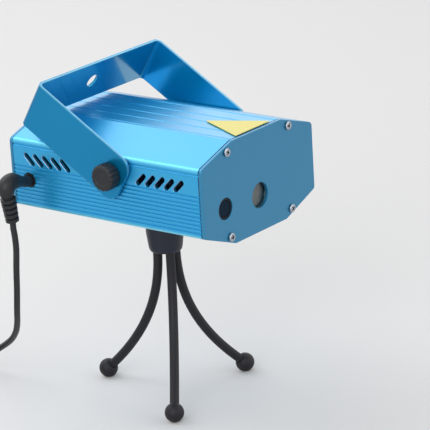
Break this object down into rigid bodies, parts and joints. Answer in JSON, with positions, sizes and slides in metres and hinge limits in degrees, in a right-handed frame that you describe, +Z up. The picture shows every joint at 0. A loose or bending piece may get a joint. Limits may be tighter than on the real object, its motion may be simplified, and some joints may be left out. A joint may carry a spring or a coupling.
{
  "type": "laser light projector",
  "caption": "Pocket stage laser projector in a blue ribbed housing, with a tilting hanging bracket, a bendy desk tripod and a plug-in power lead.",
  "frame": {"origin": "on the surface under the feet, below the middle of the projector without its lead", "axes": "+Z up, the light leaves towards -Y, +X to the right of someone who looks along +Y at the front plate"},
  "size_m": [0.1759, 0.2209, 0.174],
  "materials": {
    "housing_blue": "satin blue anodised extrusion",
    "plate_blue": "satin blue anodised sheet",
    "bracket_blue": "smooth satin blue",
    "screw_steel": "bright zinc plate",
    "inner_steel": "bright",
    "black_plastic": "fine texture",
    "black_rubber": "satin",
    "cord_black": "soft satin",
    "window_glass": "clear",
    "film_clear": "clear film",
    "brass": "machined",
    "block_aluminium": "milled",
    "grey_plastic": "moulded",
    "white_plastic": "moulded",
    "board_green": "solder resist",
    "decal_yellow": "satin film"
  },
  "bodies": {
    "housing": {"housing_shell": "housing_blue", "front_plate": "plate_blue", "rear_plate": "plate_blue", "front_screw_1": "screw_steel", "front_screw_2": "screw_steel", "front_screw_3": "screw_steel", "front_screw_4": "screw_steel", "rear_screw_1": "screw_steel", "rear_screw_2": "screw_steel", "rear_screw_3": "screw_steel", "rear_screw_4": "screw_steel", "left_pivot_nut": "inner_steel", "right_pivot_nut": "inner_steel", "tripod_nut": "inner_steel", "wheel_motor": "inner_steel", "mode_switch_case": "inner_steel", "microphone_capsule": "inner_steel", "dc_plug_barrel": "inner_steel", "adapter_pin_1": "inner_steel", "adapter_pin_2": "inner_steel", "left_pivot_washer": "black_plastic", "right_pivot_washer": "black_plastic", "power_jack": "black_plastic", "adapter_case": "black_plastic", "adapter_cover": "black_plastic", "sensor_ring": "black_rubber", "dc_plug": "cord_black", "power_cord_run": "cord_black", "power_cord_coil": "cord_black", "power_cord_tail": "cord_black", "adapter_relief": "cord_black", "laser_window": "window_glass", "green_laser_module": "brass", "red_laser_module": "brass", "laser_block": "block_aluminium", "wheel_carrier": "grey_plastic", "speed_control": "grey_plastic", "circuit_board": "board_green", "top_decal": "decal_yellow"},
    "bracket": {"hanging_bracket": "bracket_blue"},
    "left_knob": {"left_thumb_knob": "black_plastic", "left_knob_stud": "inner_steel"},
    "right_knob": {"right_thumb_knob": "black_plastic", "right_knob_stud": "inner_steel"},
    "tripod": {"tripod_head": "black_plastic", "tripod_stud": "inner_steel", "tripod_pad": "black_rubber", "left_leg": "black_rubber", "front_leg": "black_rubber", "right_leg": "black_rubber", "left_foot": "black_rubber", "front_foot": "black_rubber", "right_foot": "black_rubber"},
    "speed_dial": {"speed_knob": "black_plastic", "speed_shaft": "inner_steel"},
    "mode_switch": {"mode_slider": "black_plastic"},
    "grating": {"grating_wheel": "white_plastic", "grating_film": "film_clear"},
    "motor_drive": {"drive_pinion": "brass", "motor_shaft": "inner_steel"}
  },
  "joints": [
    {"name": "bracket_tilt", "type": "hinge", "parent": "housing", "child": "bracket", "pos_m": [0, -0.01145, 0.1326], "axis": [1, 0, 0], "range_deg": [0, 115]},
    {"name": "left_knob_turn", "type": "hinge", "parent": "housing", "child": "left_knob", "pos_m": [-0.05, -0.01145, 0.1326], "axis": [1, 0, 0], "range_deg": [0, 360]},
    {"name": "right_knob_turn", "type": "hinge", "parent": "housing", "child": "right_knob", "pos_m": [0.05, -0.01145, 0.1326], "axis": [1, 0, 0], "range_deg": [0, 360]},
    {"name": "tripod_swivel", "type": "hinge", "parent": "housing", "child": "tripod", "pos_m": [0, -0.00365, 0.09], "axis": [0, 0, 1], "range_deg": [-180, 0]},
    {"name": "speed_turn", "type": "hinge", "parent": "housing", "child": "speed_dial", "pos_m": [0.015, 0.05655, 0.1218], "axis": [0, 1, 0], "range_deg": [0, 270]},
    {"name": "mode_slide", "type": "slide", "parent": "housing", "child": "mode_switch", "axis": [1, 0, 0], "range_m": [-0.002, 0.002]},
    {"name": "grating_spin", "type": "hinge", "parent": "housing", "child": "grating", "pos_m": [0, -0.05945, 0.1163], "axis": [0, 1, 0], "continuous": true},
    {"name": "pinion_spin", "type": "hinge", "parent": "housing", "child": "motor_drive", "pos_m": [0.015, -0.05945, 0.12755], "axis": [0, 1, 0], "continuous": true}
  ],
  "couplings": [
    {"joint": "pinion_spin", "follows": "grating_spin", "ratio": -4}
  ]
}
